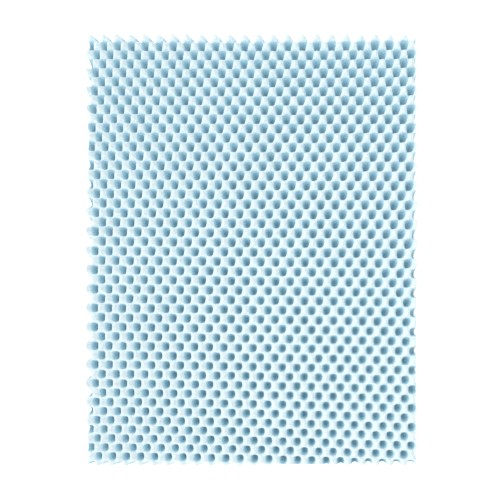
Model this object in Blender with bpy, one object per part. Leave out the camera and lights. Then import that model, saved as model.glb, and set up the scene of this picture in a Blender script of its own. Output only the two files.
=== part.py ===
# Mattress topper: one sheet of convoluted foam, lying flat with its peaks up.
# Metres, +Z up. The origin is the middle of the underside, +X runs across the
# bed and +Y runs from its foot to its head.
import math

import bmesh
import bpy

# The finished sheet
WIDTH = 1.524
LENGTH = 1.984
THICKNESS = 0.076
BASE = 0.018  # solid foam left under the deepest pits
SADDLE_RISE = 0.62  # how far up from a pit to a peak the saddles between the peaks lie

# Peaks and pits alternate like the squares of a chessboard, a step apart
STEP_ACROSS = 0.03419
STEP_ALONG = 0.04464
MIDDLE_PIT_X = 0.0127
MIDDLE_PIT_Y = -0.0100
STEPS_OUT = 25  # steps made each way from the middle pit, before the sheet is trimmed

# How far the profile has drifted by the time it is STEPS_MEASURED steps out
STEPS_MEASURED = 22
COLUMN_LEAN = 0.0144  # the head end lies this far to the right, and the foot end to the left
COLUMN_EASE = 0.0041  # the two ends lean less than that by this much
COLUMN_BOW = 0.0138  # both ends lie this far to the right of the middle
COLUMN_FAN = 0.0160  # at both ends the outer columns are drawn in by this much
COLUMN_TWIST = 0.0049  # the outer columns lean this much more than the middle ones
SIDE_DRIFT = 0.0070  # both sides lie this far to the right
SIDE_SQUEEZE = 0.0089  # the outermost columns are drawn in by this much along the whole length
SIDE_SHEAR = 0.0026  # towards the head, the columns are spread out by this much
ROW_LEAN = 0.0079  # the right side lies this far towards the foot
ROW_TWIST = 0.0104  # the right side is stretched, and the left side shortened, by this much
ROW_BOW = 0.0055  # at both sides the outermost rows are pushed out by this much
END_DRIFT = 0.0016  # both ends lie this far towards the foot
END_SQUEEZE = 0.0245  # the outermost rows are drawn in by this much

# Every peak leans a little one way, from where the sheet was rolled up
LEAN_X = -0.0080
LEAN_Y = 0.0043

FOAM_BLUE = (0.62, 0.80, 0.88, 1.0)
FOAM_ROUGHNESS = 0.92


def clear_objects():
    for thing in list(bpy.data.objects):
        bpy.data.objects.remove(thing, do_unlink=True)


def foam_material():
    material = bpy.data.materials.new("blue_foam")
    material.use_nodes = True
    shader = material.node_tree.nodes["Principled BSDF"]
    shader.inputs["Base Color"].default_value = FOAM_BLUE
    shader.inputs["Roughness"].default_value = FOAM_ROUGHNESS
    shader.inputs["Metallic"].default_value = 0.0
    material.diffuse_color = FOAM_BLUE
    return material


def place(column, row):
    """Where the lattice point a number of steps from the middle pit lies."""
    across = column / STEPS_MEASURED
    along = row / STEPS_MEASURED
    x = MIDDLE_PIT_X + STEP_ACROSS * column
    x += (COLUMN_LEAN - COLUMN_EASE * along**2) * along
    x += (COLUMN_BOW - COLUMN_FAN * across) * along**2
    x += (SIDE_DRIFT - SIDE_SQUEEZE * across + COLUMN_TWIST * along) * across**2
    x += SIDE_SHEAR * across * along
    y = MIDDLE_PIT_Y + STEP_ALONG * row
    y += (ROW_TWIST * along - ROW_LEAN) * across
    y += (ROW_BOW * across**2 - END_SQUEEZE * along**2) * along
    y -= END_DRIFT * along**2
    return x, y


def rise(column, row):
    """From 0 in a pit, where column + row is even, to 1 on a peak, with the saddles between them."""
    across = math.cos(math.pi * column)
    along = math.cos(math.pi * row)
    lift = (SADDLE_RISE - 0.5) * (1.0 - across**2) * (1.0 - along**2)
    return 0.5 - 0.5 * across * along + lift


def lattice_point(mesh, column, row):
    x, y = place(column, row)
    up = rise(column, row)
    return mesh.verts.new((x + LEAN_X * up, y + LEAN_Y * up, BASE + (THICKNESS - BASE) * up))


def convoluted_sheet(material):
    """The profiled sheet before trimming: each saddle joins the two peaks and two pits round it."""
    mesh = bmesh.new()
    steps = range(-STEPS_OUT, STEPS_OUT + 1)
    tips = {(column, row): lattice_point(mesh, column, row) for column in steps for row in steps}
    for column in range(-STEPS_OUT, STEPS_OUT):
        for row in range(-STEPS_OUT, STEPS_OUT):
            saddle = lattice_point(mesh, column + 0.5, row + 0.5)
            ring = [
                tips[column, row],
                tips[column + 1, row],
                tips[column + 1, row + 1],
                tips[column, row + 1],
            ]
            for corner in range(4):
                mesh.faces.new((ring[corner], ring[(corner + 1) % 4], saddle))
    rim = [edge for edge in mesh.edges if edge.is_boundary]
    walls = bmesh.ops.extrude_edge_only(mesh, edges=rim)["geom"]
    for item in walls:
        if isinstance(item, bmesh.types.BMVert):
            item.co.z = 0.0
    bmesh.ops.contextual_create(mesh, geom=[edge for edge in mesh.edges if edge.is_boundary])
    bmesh.ops.recalc_face_normals(mesh, faces=mesh.faces)
    data = bpy.data.meshes.new("topper")
    mesh.to_mesh(data)
    mesh.free()
    data.materials.append(material)
    sheet = bpy.data.objects.new("topper", data)
    bpy.context.scene.collection.objects.link(sheet)
    return sheet


def trim_box():
    """The straight cuts round the four sides, as a box that the sheet is cut to."""
    bpy.ops.mesh.primitive_cube_add(size=1.0)
    box = bpy.context.object
    box.name = "trim_box"
    box.data.transform(((WIDTH, 0, 0, 0), (0, LENGTH, 0, 0), (0, 0, 4 * THICKNESS, 0), (0, 0, 0, 1)))
    box.display_type = "WIRE"
    box.hide_render = True
    return box


def trim(sheet, box):
    cut = sheet.modifiers.new("straight_sides", "BOOLEAN")
    cut.operation = "INTERSECT"
    cut.solver = "EXACT"
    cut.object = box


clear_objects()
trim(convoluted_sheet(foam_material()), trim_box())
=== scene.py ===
# Mattress topper: one sheet of pale blue convoluted foam, lying flat with its peaks up.
# Metres, +Z up. +X runs across the bed and +Y runs from its foot to its head.
import math

import bmesh
import bpy
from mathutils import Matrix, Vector


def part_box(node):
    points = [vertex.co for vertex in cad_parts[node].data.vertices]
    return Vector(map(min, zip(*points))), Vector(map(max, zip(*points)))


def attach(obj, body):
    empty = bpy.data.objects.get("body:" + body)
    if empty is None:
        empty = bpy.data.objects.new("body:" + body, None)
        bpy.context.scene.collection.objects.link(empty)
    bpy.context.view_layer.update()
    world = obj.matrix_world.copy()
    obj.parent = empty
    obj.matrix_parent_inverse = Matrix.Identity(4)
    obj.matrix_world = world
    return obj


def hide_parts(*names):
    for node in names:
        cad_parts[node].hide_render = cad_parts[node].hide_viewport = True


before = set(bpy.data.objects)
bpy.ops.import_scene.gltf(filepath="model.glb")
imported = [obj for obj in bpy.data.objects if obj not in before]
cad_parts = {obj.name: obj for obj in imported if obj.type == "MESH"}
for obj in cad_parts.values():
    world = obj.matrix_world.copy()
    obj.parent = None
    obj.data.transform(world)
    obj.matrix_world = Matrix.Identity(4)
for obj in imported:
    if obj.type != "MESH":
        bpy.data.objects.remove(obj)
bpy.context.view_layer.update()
sheetLow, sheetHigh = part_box("topper")
scene = bpy.context.scene

noiseMiddle = 0.5  # a noise texture runs from 0 to 1
noiseReach = 4.0  # brings it to -1 to 1, because it mostly stays within a quarter of its middle


class Value:
    # a socket that takes part in Python sums: each sum adds its Math node

    def __init__(self, wiring, socket):
        self.wiring = wiring
        self.socket = socket

    def sum(self, operation, *terms):
        settings = {"operation": operation}
        return self.wiring.node("ShaderNodeMath", settings, dict(enumerate(terms)))[0]

    def __add__(self, other):
        return self.sum("ADD", self, other)

    def __radd__(self, other):
        return self.sum("ADD", other, self)

    def __sub__(self, other):
        return self.sum("SUBTRACT", self, other)

    def __rsub__(self, other):
        return self.sum("SUBTRACT", other, self)

    def __mul__(self, other):
        return self.sum("MULTIPLY", self, other)

    def __rmul__(self, other):
        return self.sum("MULTIPLY", other, self)

    def __truediv__(self, other):
        return self.sum("DIVIDE", self, other)

    def __rtruediv__(self, other):
        return self.sum("DIVIDE", other, self)

    def __pow__(self, other):
        return self.sum("POWER", self, other)

    def __neg__(self):
        return self.sum("MULTIPLY", self, -1.0)


class Made:
    # a finished node: its outputs by name or number

    def __init__(self, wiring, node):
        self.wiring = wiring
        self.node = node

    def __getitem__(self, key):
        live = [socket for socket in self.node.outputs if socket.enabled]
        if isinstance(key, int):
            return Value(self.wiring, live[key])
        named = [socket for socket in live if socket.name == key]
        return Value(self.wiring, named[0])


class Wiring:
    # an empty node tree that is filled node by node

    def __init__(self, tree):
        self.tree = tree
        tree.nodes.clear()

    def node(self, kind, settings=None, sockets=None):
        node = self.tree.nodes.new(kind)
        for name, setting in (settings or {}).items():
            if name == "stops":
                self.stops(node.color_ramp, setting)
            else:
                setattr(node, name, setting)
        for key, value in (sockets or {}).items():
            live = [socket for socket in node.inputs if socket.enabled]
            if not isinstance(key, int):
                live = [socket for socket in live if socket.name == key]
                key = 0
            self.feed(live[key], value)
        return Made(self, node)

    def stops(self, ramp, stops):
        while len(ramp.elements) < len(stops):
            ramp.elements.new(1.0)
        for element, (position, colour) in zip(ramp.elements, stops):
            element.position = position
            element.color = (*colour, 1.0)

    def feed(self, socket, value):
        if isinstance(value, Value):
            self.tree.links.new(value.socket, socket)
        else:
            socket.default_value = value


def cosine(value):
    return value.sum("COSINE", value)


def sine(value):
    return value.sum("SINE", value)


def larger(value, least):
    return value.sum("MAXIMUM", value, least)


def vectorSum(wire, operation, sockets):
    return wire.node("ShaderNodeVectorMath", {"operation": operation}, sockets)[0]


# The cut foam. Its lattice counts in steps from the middle pit: a pit where column + row
# is even, a peak where it is odd, and a saddle halfway between two of each.
sheet = {
    "Step Across": 0.03419,
    "Step Along": 0.04464,
    "Middle Pit X": 0.0119,
    "Middle Pit Y": -0.0100,
    "Steps Measured": 22.0,  # the drifts below are reached this many steps out
    "Column Lean": 0.0144,  # the head end lies this far to the right, the foot end to the left
    "Column Ease": 0.0041,  # both ends lean this much less than that
    "Column Bow": 0.0138,  # both ends lie this far to the right of the middle
    "Column Fan": 0.0160,  # at both ends the outer columns are drawn in
    "Column Twist": 0.0049,  # the outer columns lean more than the middle ones
    "Side Squeeze": 0.0089,  # the outer columns are drawn in along the whole length
    "Side Drift": 0.0070,  # both sides lie this far to the right
    "Side Shear": 0.0026,  # towards the head the columns are spread out
    "Row Lean": 0.0079,  # the right side lies this far towards the foot
    "Row Twist": 0.0104,  # the right side is stretched and the left side shortened
    "Row Bow": 0.0055,  # at both sides the outer rows are pushed out
    "End Drift": 0.0016,  # both ends lie this far towards the foot
    "End Squeeze": 0.0245,  # the outer rows are drawn in
    "Peak Lean X": -0.0080,
    "Peak Lean Y": 0.0043,
    "Base": 0.018,  # solid foam under the pits
    "Relief": 0.058,  # from pit to peak
    "Rim Height": 0.61,  # where the steep wall of a pit ends and the cap of a peak begins
    "Rim Shift": 0.04,  # how far the rims are moved out from the pits
    "Saddle Lift": 0.15,  # how much higher the saddles are, which rounds the pits
    "Saddle Change": -0.14,  # added to that at the head, and taken off at the foot
    "Peak Point": 0.8,  # 1 is a round dome, 0.5 a cone
    "Peak Blunt": 0.01,
    "Pit Round": 2.2,  # 1 is a bowl, and more makes the walls steeper
    "Saddle Lean": 0.03,  # how far saddles are lowered and raised in turn, less towards both ends
    "Lean Change": 0.09,  # added to that at the right side, and taken off at the left
    "End Lift": 0.15,  # how much closer the rims lie at the head and foot of each pit
    "End Change": -0.20,  # added to that at the head, and taken off at the foot
    "Right Widening": 0.06,  # half of how far out the rims beside each pit lie at the right side
    "Head Flare": 0.18,  # how much wider each pit is at its head end, and narrower at its foot end
    "Flare Change": 0.15,  # added to that at the head, and taken off at the foot
    "Unevenness": 0.0016,  # how far a spot strays off the rule
    "Uneven Size": 0.09,
    "Uneven Detail": 2.0,
    "Seed": 4.0,
    "Steps Out": 25,
    "Quads Across": 6,  # to each step
    "Quads Along": 7,
    "Quad Gather": 0.5,  # how much closer the quads are at the rims
}
countNames = ("Steps Out", "Quads Across", "Quads Along")
cutTolerance = 0.00001


def gathered(steps, gather):
    turn = 2.0 * math.pi
    return steps + gather * sine(steps * turn) / turn


def latticePlace(size, column, row):
    # where a spot counted in steps lies, with the drifts of the real sheet
    across = column / size["Steps Measured"]
    along = row / size["Steps Measured"]
    x = size["Middle Pit X"] + size["Step Across"] * column
    x = x + (size["Column Lean"] - size["Column Ease"] * along * along) * along
    x = x + (size["Column Bow"] - size["Column Fan"] * across) * along * along
    sideways = size["Side Drift"] - size["Side Squeeze"] * across + size["Column Twist"] * along
    x = x + sideways * across * across
    x = x + size["Side Shear"] * across * along
    y = size["Middle Pit Y"] + size["Step Along"] * row
    y = y + (size["Row Twist"] * along - size["Row Lean"]) * across
    y = y + (size["Row Bow"] * across * across - size["End Squeeze"] * along * along) * along
    y = y - size["End Drift"] * along * along
    return x, y


def foamWave(size, column, row):
    # -1 at the bottom of a pit, about 0 halfway and at the saddles, and 1 at a peak
    across = column / size["Steps Measured"]
    along = row / size["Steps Measured"]
    corner = sine(column * math.pi) * sine(row * math.pi)
    flare = size["Head Flare"] + size["Flare Change"] * along
    bars = cosine(column * math.pi - flare * corner)
    rungs = cosine(row * math.pi)
    saddle = size["Saddle Lift"] + size["Saddle Change"] * along
    ends = size["End Lift"] + size["End Change"] * along
    lift = saddle * (1.0 - bars * bars) + ends * bars * bars
    widening = size["Right Widening"] * (across + across * across)
    widening = widening * (1.0 - bars * bars) * rungs * rungs
    lean = (size["Saddle Lean"] + size["Lean Change"] * across) * (1.0 - along * along)
    wave = lift * (1.0 - rungs * rungs) - bars * rungs
    return wave - lean * corner - widening - size["Rim Shift"]


def foamRise(size, wave):
    # from 0 in a pit to 1 on a peak: a steep wall below the rim and a blunt cap above it
    top = larger(wave, 0.0) / (1.0 - size["Rim Shift"])
    low = larger(-wave, 0.0) / (1.0 + size["Rim Shift"])
    blunt = size["Peak Blunt"] ** size["Peak Point"]
    peak = (1.0 - (1.0 - top + size["Peak Blunt"]) ** size["Peak Point"]) / (1.0 - blunt)
    pit = 1.0 - (1.0 - low) ** size["Pit Round"]
    return size["Rim Height"] * (1.0 - pit) + (1.0 - size["Rim Height"]) * peak


def strayed(wire, size, flat):
    # the small unevenness of cut foam
    noise = wire.node(
        "ShaderNodeTexNoise",
        {"noise_dimensions": "4D"},
        {
            "Vector": flat,
            "W": size["Seed"],
            "Scale": 1.0 / size["Uneven Size"],
            "Detail": size["Uneven Detail"],
        },
    )["Color"]
    middle = (noiseMiddle, noiseMiddle, noiseMiddle)
    reach = size["Unevenness"] * noiseReach
    stray = vectorSum(wire, "SUBTRACT", {0: noise, 1: middle})
    stray = vectorSum(wire, "SCALE", {0: stray, "Scale": reach})
    return vectorSum(wire, "ADD", {0: flat, 1: stray})


def foamSheetTree():
    # a grid counted in lattice steps, moved to its place and its height
    tree = bpy.data.node_groups.new("convolutedFoam", "GeometryNodeTree")
    for name in sheet:
        kind = "NodeSocketInt" if name in countNames else "NodeSocketFloat"
        tree.interface.new_socket(name, in_out="INPUT", socket_type=kind)
    tree.interface.new_socket("Foam", in_out="INPUT", socket_type="NodeSocketMaterial")
    tree.interface.new_socket("Sheet", in_out="OUTPUT", socket_type="NodeSocketGeometry")
    wire = Wiring(tree)
    given = wire.node("NodeGroupInput")
    size = {name: given[name] for name in sheet}

    span = size["Steps Out"] * 2
    grid = wire.node(
        "GeometryNodeMeshGrid",
        sockets={
            "Size X": span,
            "Size Y": span,
            "Vertices X": span * size["Quads Across"] + 1,
            "Vertices Y": span * size["Quads Along"] + 1,
        },
    )["Mesh"]
    spot = wire.node("GeometryNodeInputPosition")["Position"]
    steps = wire.node("ShaderNodeSeparateXYZ", sockets={"Vector": spot})
    column = gathered(steps["X"], size["Quad Gather"])
    row = gathered(steps["Y"], size["Quad Gather"])

    x, y = latticePlace(size, column, row)
    rise = foamRise(size, foamWave(size, column, row))
    x = x + size["Peak Lean X"] * rise
    y = y + size["Peak Lean Y"] * rise
    z = size["Base"] + size["Relief"] * rise
    flat = wire.node("ShaderNodeCombineXYZ", sockets={"X": x, "Y": y, "Z": z})["Vector"]
    placed = strayed(wire, size, flat)

    moved = wire.node(
        "GeometryNodeSetPosition", sockets={"Geometry": grid, "Position": placed}
    )["Geometry"]
    real = wire.node("GeometryNodeRealizeInstances", sockets={"Geometry": moved})["Geometry"]
    dressed = wire.node(
        "GeometryNodeSetMaterial", sockets={"Geometry": real, "Material": given["Foam"]}
    )["Geometry"]
    wire.node("NodeGroupOutput", sockets={"Sheet": dressed})
    return tree


def bakedSheet(material):
    # the tree's result as a plain mesh
    holder = bpy.data.objects.new("sheetHolder", bpy.data.meshes.new("sheetHolder"))
    scene.collection.objects.link(holder)
    tree = foamSheetTree()
    modifier = holder.modifiers.new("convolutedFoam", "NODES")
    modifier.node_group = tree
    for socket in tree.interface.items_tree:
        if socket.item_type == "SOCKET" and socket.in_out == "INPUT":
            value = material if socket.name == "Foam" else sheet[socket.name]
            modifier[socket.identifier] = value
    bpy.context.view_layer.update()
    live = holder.evaluated_get(bpy.context.evaluated_depsgraph_get())
    baked = bpy.data.meshes.new_from_object(live)
    holder.modifiers.remove(modifier)
    bpy.data.objects.remove(holder)
    return baked


def cutToSize(mesh):
    # four straight cuts to the CAD sheet's outline
    for point, normal in (
        ((sheetLow.x, 0, 0), (-1, 0, 0)),
        ((sheetHigh.x, 0, 0), (1, 0, 0)),
        ((0, sheetLow.y, 0), (0, -1, 0)),
        ((0, sheetHigh.y, 0), (0, 1, 0)),
    ):
        bmesh.ops.bisect_plane(
            mesh,
            geom=[*mesh.verts, *mesh.edges, *mesh.faces],
            plane_co=point,
            plane_no=normal,
            clear_outer=True,
            dist=cutTolerance,
        )


def closeSheet(mesh):
    # plumb sides down to the flat underside, with a sharp rim
    for face in mesh.faces:
        face.smooth = True
    rim = [edge for edge in mesh.edges if edge.is_boundary]
    made = bmesh.ops.extrude_edge_only(mesh, edges=rim)["geom"]
    for edge in rim:
        edge.smooth = False
    for item in made:
        if isinstance(item, bmesh.types.BMVert):
            item.co.z = 0.0
    under = [edge for edge in mesh.edges if edge.is_boundary]
    for edge in under:
        edge.smooth = False
    bmesh.ops.contextual_create(mesh, geom=under)
    bmesh.ops.recalc_face_normals(mesh, faces=mesh.faces)


def topperSheet(material):
    baked = bakedSheet(material)
    mesh = bmesh.new()
    mesh.from_mesh(baked)
    cutToSize(mesh)
    closeSheet(mesh)
    data = bpy.data.meshes.new("foamSheet")
    mesh.to_mesh(data)
    mesh.free()
    data.materials.clear()
    data.materials.append(material)
    thing = bpy.data.objects.new("foamSheet", data)
    scene.collection.objects.link(thing)
    return thing


foam = {
    # peakColour is the foam's own pale blue; the wall and pit colours are painted shade that
    # darkens the hollows
    "peakColour": (0.80, 0.93, 0.97),
    "wallColour": (0.50, 0.75, 0.86),
    "pitColour": (0.33, 0.52, 0.61),
    "pitTop": 0.0,  # these three count up the relief, where the colour goes from painted pit shade to painted wall shade to the foam's own colour
    "wallTop": 0.54,
    "peakFoot": 0.66,
    "poreSize": 0.0016,
    "poreShade": 0.12,
    "poreDepth": 0.0003,
    "mottleSize": 0.07,
    "mottleDetail": 3.0,
    "mottleShade": 0.06,
    "mottleRise": 0.2,  # how far it moves the painted shade ramp of the three colours up and down the relief
    "cutSize": 0.009,  # the torn grain that the cutting leaves
    "cutDetail": 4.0,
    "cutRoughness": 0.6,
    "cutDepth": 0.0006,
    "cutShade": 0.6,
    "roughness": 0.95,
    "specular": 0.15,
    "sheen": 0.15,
    "sheenRoughness": 0.5,
}


def blueFoam():
    material = bpy.data.materials.new("blueFoam")
    material.use_nodes = True
    wire = Wiring(material.node_tree)
    spot = wire.node("ShaderNodeTexCoord")["Object"]
    height = wire.node("ShaderNodeSeparateXYZ", sockets={"Vector": spot})["Z"]
    rise = (height - sheet["Base"]) / sheet["Relief"]

    mottle = wire.node(
        "ShaderNodeTexNoise",
        sockets={
            "Vector": spot,
            "Scale": 1.0 / foam["mottleSize"],
            "Detail": foam["mottleDetail"],
        },
    )[0]
    pore = wire.node(
        "ShaderNodeTexVoronoi",
        {"feature": "F1"},
        {"Vector": spot, "Scale": 1.0 / foam["poreSize"]},
    )["Distance"]
    grain = wire.node(
        "ShaderNodeTexNoise",
        sockets={
            "Vector": spot,
            "Scale": 1.0 / foam["cutSize"],
            "Detail": foam["cutDetail"],
            "Roughness": foam["cutRoughness"],
        },
    )[0]

    # painted shade: the colour darkens and deepens from the peak colour down the walls into the
    # pits, standing in for the shade in the hollows
    stops = [
        (foam["pitTop"], foam["pitColour"]),
        (foam["wallTop"], foam["wallColour"]),
        (foam["peakFoot"], foam["peakColour"]),
    ]
    paintedShadeByDepth = wire.node(
        "ShaderNodeValToRGB",
        {"stops": stops},
        {"Fac": rise + (mottle - noiseMiddle) * foam["mottleRise"]},
    )["Color"]
    shade = 1.0 - (1.0 - pore) * foam["poreShade"]
    shade = shade + (mottle - noiseMiddle) * foam["mottleShade"]
    shade = shade + (grain - noiseMiddle) * foam["cutShade"]
    colour = vectorSum(wire, "SCALE", {0: paintedShadeByDepth, "Scale": shade})
    ripple = wire.node(
        "ShaderNodeBump",
        sockets={"Height": grain, "Distance": foam["cutDepth"], "Strength": 1.0},
    )["Normal"]
    pitted = wire.node(
        "ShaderNodeBump",
        sockets={
            "Height": pore,
            "Distance": foam["poreDepth"],
            "Strength": 1.0,
            "Normal": ripple,
        },
    )["Normal"]
    shader = wire.node(
        "ShaderNodeBsdfPrincipled",
        sockets={
            "Base Color": colour,
            "Roughness": foam["roughness"],
            "Metallic": 0.0,
            "Specular IOR Level": foam["specular"],
            "Sheen Weight": foam["sheen"],
            "Sheen Roughness": foam["sheenRoughness"],
            "Normal": pitted,
        },
    )["BSDF"]
    wire.node("ShaderNodeOutputMaterial", sockets={"Surface": shader})
    material.diffuse_color = (*foam["wallColour"], 1.0)
    return material


studio = {
    "nadirX": 0.1989,  # the spot on the floor right under the camera
    "nadirY": -0.3454,
    "height": 1.687,
    "viewWidth": 2.374,  # at the level of the pits
    "shiftX": -0.09,
    "shiftY": 0.15,
    "sensorWidth": 36.0,
    "sightLimit": 100.0,
    "worldLight": 0.7,
    "sunSoftness": 35.0,
    "keyLight": 1.5,
    "keyHeight": 45.0,
    "keyFrom": 184.0,  # anticlockwise from +X
    "fillLight": 0.5,
    "fillHeight": 45.0,
    "fillFrom": 0.0,
    "exposure": 0.06,
    "floorSize": 14.0,
    "floorGap": 0.0005,  # left under the sheet, so that the two don't share a plane
    "floorColour": (0.93, 0.93, 0.93),
    "floorRoughness": 0.9,
    "floorGlow": 0.5,  # keeps the floor pure white beside the sheet, as in the photograph
}
white = (1.0, 1.0, 1.0, 1.0)


def studioFloor():
    half = studio["floorSize"] / 2
    level = -studio["floorGap"]
    corners = [(x * half, y * half, level) for x, y in ((-1, -1), (1, -1), (1, 1), (-1, 1))]
    data = bpy.data.meshes.new("studioFloor")
    data.from_pydata(corners, [], [(0, 1, 2, 3)])
    floor = bpy.data.objects.new("studioFloor", data)
    scene.collection.objects.link(floor)
    paint = bpy.data.materials.new("whiteFloor")
    paint.use_nodes = True
    shader = paint.node_tree.nodes["Principled BSDF"]
    shader.inputs["Base Color"].default_value = (*studio["floorColour"], 1.0)
    shader.inputs["Roughness"].default_value = studio["floorRoughness"]
    shader.inputs["Emission Color"].default_value = white
    shader.inputs["Emission Strength"].default_value = studio["floorGlow"]
    data.materials.append(paint)


def softSun(name, strength, height, side):
    lamp = bpy.data.lights.new(name, "SUN")
    lamp.energy = strength
    lamp.angle = math.radians(studio["sunSoftness"])
    sun = bpy.data.objects.new(name, lamp)
    scene.collection.objects.link(sun)
    height = math.radians(height)
    side = math.radians(side)
    level = math.cos(height)
    towards = Vector((math.cos(side) * level, math.sin(side) * level, math.sin(height)))
    sun.rotation_euler = towards.to_track_quat("Z", "Y").to_euler()


def lightStudio():
    world = bpy.data.worlds.new("whiteRoom")
    world.use_nodes = True
    room = world.node_tree.nodes["Background"]
    room.inputs["Color"].default_value = white
    room.inputs["Strength"].default_value = studio["worldLight"]
    scene.world = world
    softSun("keyLight", studio["keyLight"], studio["keyHeight"], studio["keyFrom"])
    softSun("fillLight", studio["fillLight"], studio["fillHeight"], studio["fillFrom"])
    scene.view_settings.view_transform = "Standard"
    scene.view_settings.look = "None"
    scene.view_settings.exposure = studio["exposure"]


def overheadCamera():
    lens = bpy.data.cameras.new("overheadCamera")
    camera = bpy.data.objects.new("overheadCamera", lens)
    scene.collection.objects.link(camera)
    camera.location = (studio["nadirX"], studio["nadirY"], studio["height"])
    lens.sensor_width = studio["sensorWidth"]
    lens.lens = studio["sensorWidth"] * (studio["height"] - sheet["Base"]) / studio["viewWidth"]
    lens.shift_x = studio["shiftX"]
    lens.shift_y = studio["shiftY"]
    lens.clip_end = studio["sightLimit"]
    scene.camera = camera


overheadCamera()
lightStudio()
studioFloor()
print("studio ready")

topper = topperSheet(blueFoam())
print("foam sheet cut:", len(topper.data.polygons), "faces")

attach(topper, "root")
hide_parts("topper")

print("sizes kept")
